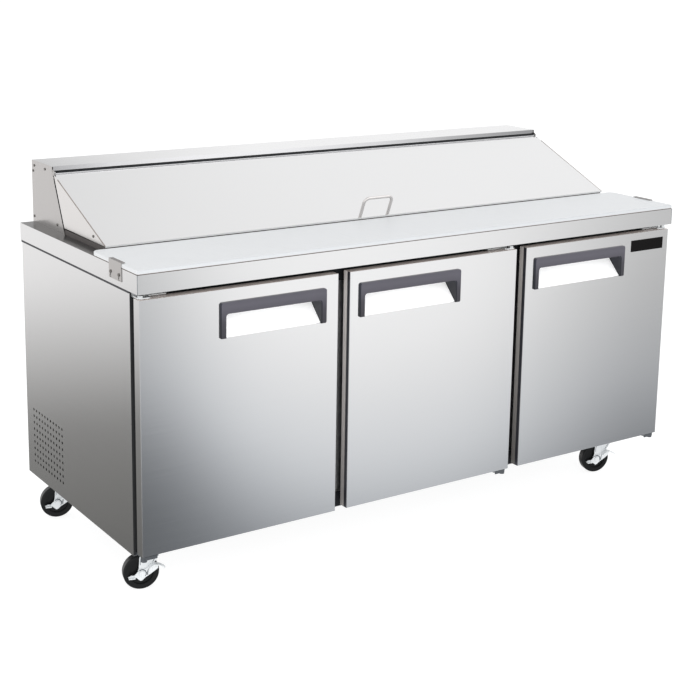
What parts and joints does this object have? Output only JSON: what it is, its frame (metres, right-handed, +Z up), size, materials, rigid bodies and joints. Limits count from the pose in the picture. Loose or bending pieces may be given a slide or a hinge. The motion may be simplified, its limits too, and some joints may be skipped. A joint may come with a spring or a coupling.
{
  "type": "sandwich prep table",
  "caption": "Refrigerated sandwich prep table on casters: hinged doors with recessed grips, full-width cutting board, and a hooded pan well under a sloping lift-up lid.",
  "frame": {"origin": "on the floor under the middle of the overall box", "axes": "+X to the right seen from the front, +Y to the rear, +Z up; the doors face -Y"},
  "size_m": [1.8398, 0.7635, 1.064],
  "materials": {
    "badge": "gloss",
    "black_metal": "semi-gloss",
    "black_plastic": "matte",
    "coated_wire": "epoxy coated",
    "cutting_board": "satin",
    "fin_aluminium": "satin",
    "galvanised": "galvanised",
    "gasket_rubber": "matte",
    "grey_plastic": "satin",
    "inner_aluminium": "stucco satin",
    "insulation": "matte",
    "stainless": "brushed",
    "stainless_bright": "polished satin",
    "wheel_rubber": "satin",
    "white_foam_pan": "satin",
    "zinc": "zinc plated"
  },
  "bodies": {
    "cabinet": {"base_pan": "galvanised", "cabinet_back": "galvanised", "cabinet_side_left": "stainless", "cabinet_side_right": "stainless", "caster_plates": "zinc", "compressor": "black_metal", "condenser_coil": "fin_aluminium", "condenser_shroud": "galvanised", "controller_box": "black_plastic", "evaporator_coil": "fin_aluminium", "evaporator_housing": "inner_aluminium", "face_frame": "black_plastic", "fixing_screws": "stainless_bright", "food_pans": "stainless_bright", "hinge_plates": "zinc", "hood_ends": "stainless", "hood_roof": "stainless", "insulation": "insulation", "interior_liner": "inner_aluminium", "lid_rod": "stainless_bright", "machine_grille": "galvanised", "mullions": "inner_aluminium", "pan_bars": "stainless", "pan_rail": "black_plastic", "shelf_uprights": "stainless_bright", "wire_shelves": "coated_wire", "worktop": "stainless"},
    "door_left": {"door_left_core": "white_foam_pan", "door_left_gasket": "gasket_rubber", "door_left_handle": "grey_plastic", "door_left_skin": "stainless"},
    "door_centre": {"door_centre_core": "white_foam_pan", "door_centre_gasket": "gasket_rubber", "door_centre_handle": "grey_plastic", "door_centre_skin": "stainless"},
    "door_right": {"door_right_core": "white_foam_pan", "door_right_gasket": "gasket_rubber", "door_right_handle": "grey_plastic", "door_right_skin": "stainless", "badge_plate": "badge"},
    "lid": {"lid_panel": "stainless", "lid_handle": "stainless_bright", "lid_screws": "stainless_bright"},
    "board": {"cutting_board": "cutting_board"},
    "clip_left": {"board_clip_left": "stainless"},
    "clip_right": {"board_clip_right": "stainless"},
    "evaporator_fan": {"evaporator_fan": "black_plastic"},
    "condenser_fan": {"condenser_fan": "black_plastic"},
    "swivel_fl": {"caster_fork_fl": "zinc"},
    "wheel_fl": {"caster_wheel_fl": "wheel_rubber"},
    "brake_fl": {"caster_brake_fl": "zinc"},
    "swivel_fr": {"caster_fork_fr": "zinc"},
    "wheel_fr": {"caster_wheel_fr": "wheel_rubber"},
    "brake_fr": {"caster_brake_fr": "zinc"},
    "swivel_rl": {"caster_fork_rl": "zinc"},
    "wheel_rl": {"caster_wheel_rl": "wheel_rubber"},
    "brake_rl": {"caster_brake_rl": "zinc"},
    "swivel_rr": {"caster_fork_rr": "zinc"},
    "wheel_rr": {"caster_wheel_rr": "wheel_rubber"},
    "brake_rr": {"caster_brake_rr": "zinc"}
  },
  "joints": [
    {"name": "door_left_hinge", "type": "hinge", "parent": "cabinet", "child": "door_left", "pos_m": [-0.899, -0.361, 0.487], "axis": [0, 0, -1], "range_deg": [0, 100]},
    {"name": "door_centre_hinge", "type": "hinge", "parent": "cabinet", "child": "door_centre", "pos_m": [0.28, -0.361, 0.487], "axis": [0, 0, 1], "range_deg": [0, 100]},
    {"name": "door_right_hinge", "type": "hinge", "parent": "cabinet", "child": "door_right", "pos_m": [0.899, -0.361, 0.487], "axis": [0, 0, 1], "range_deg": [0, 100]},
    {"name": "lid_hinge", "type": "hinge", "parent": "cabinet", "child": "lid", "pos_m": [0, 0.23, 1.046], "axis": [-1, 0, 0], "range_deg": [0, 118]},
    {"name": "board_slide", "type": "slide", "parent": "cabinet", "child": "board", "axis": [0, -1, 0], "range_m": [0, 0.24]},
    {"name": "clip_left_lift", "type": "slide", "parent": "cabinet", "child": "clip_left", "axis": [0, 0, 1], "range_m": [0, 0.01]},
    {"name": "clip_right_lift", "type": "slide", "parent": "cabinet", "child": "clip_right", "axis": [0, 0, 1], "range_m": [0, 0.01]},
    {"name": "evaporator_fan_spin", "type": "hinge", "parent": "cabinet", "child": "evaporator_fan", "pos_m": [0, 0.252, 0.582], "axis": [0, -1, 0], "continuous": true},
    {"name": "condenser_fan_spin", "type": "hinge", "parent": "cabinet", "child": "condenser_fan", "pos_m": [-0.818, 0.229, 0.252], "axis": [1, 0, 0], "continuous": true},
    {"name": "swivel_fl", "type": "hinge", "parent": "cabinet", "child": "swivel_fl", "pos_m": [-0.815, -0.243, 0.12], "axis": [0, 0, 1], "continuous": true},
    {"name": "wheel_fl_roll", "type": "hinge", "parent": "swivel_fl", "child": "wheel_fl", "pos_m": [-0.84881, -0.23394, 0.048], "axis": [0.2588, 0.9659, 0], "continuous": true},
    {"name": "brake_fl_pedal", "type": "hinge", "parent": "swivel_fl", "child": "brake_fl", "pos_m": [-0.84881, -0.23394, 0.048], "axis": [0.2588, 0.9659, 0], "range_deg": [0, 14]},
    {"name": "swivel_fr", "type": "hinge", "parent": "cabinet", "child": "swivel_fr", "pos_m": [0.815, -0.243, 0.12], "axis": [0, 0, 1], "continuous": true},
    {"name": "wheel_fr_roll", "type": "hinge", "parent": "swivel_fr", "child": "wheel_fr", "pos_m": [0.78119, -0.23394, 0.048], "axis": [0.2588, 0.9659, 0], "continuous": true},
    {"name": "brake_fr_pedal", "type": "hinge", "parent": "swivel_fr", "child": "brake_fr", "pos_m": [0.78119, -0.23394, 0.048], "axis": [0.2588, 0.9659, 0], "range_deg": [0, 14]},
    {"name": "swivel_rl", "type": "hinge", "parent": "cabinet", "child": "swivel_rl", "pos_m": [-0.815, 0.323, 0.12], "axis": [0, 0, 1], "continuous": true},
    {"name": "wheel_rl_roll", "type": "hinge", "parent": "swivel_rl", "child": "wheel_rl", "pos_m": [-0.84881, 0.33206, 0.048], "axis": [0.2588, 0.9659, 0], "continuous": true},
    {"name": "brake_rl_pedal", "type": "hinge", "parent": "swivel_rl", "child": "brake_rl", "pos_m": [-0.84881, 0.33206, 0.048], "axis": [0.2588, 0.9659, 0], "range_deg": [0, 14]},
    {"name": "swivel_rr", "type": "hinge", "parent": "cabinet", "child": "swivel_rr", "pos_m": [0.815, 0.323, 0.12], "axis": [0, 0, 1], "continuous": true},
    {"name": "wheel_rr_roll", "type": "hinge", "parent": "swivel_rr", "child": "wheel_rr", "pos_m": [0.78119, 0.33206, 0.048], "axis": [0.2588, 0.9659, 0], "continuous": true},
    {"name": "brake_rr_pedal", "type": "hinge", "parent": "swivel_rr", "child": "brake_rr", "pos_m": [0.78119, 0.33206, 0.048], "axis": [0.2588, 0.9659, 0], "range_deg": [0, 14]}
  ]
}
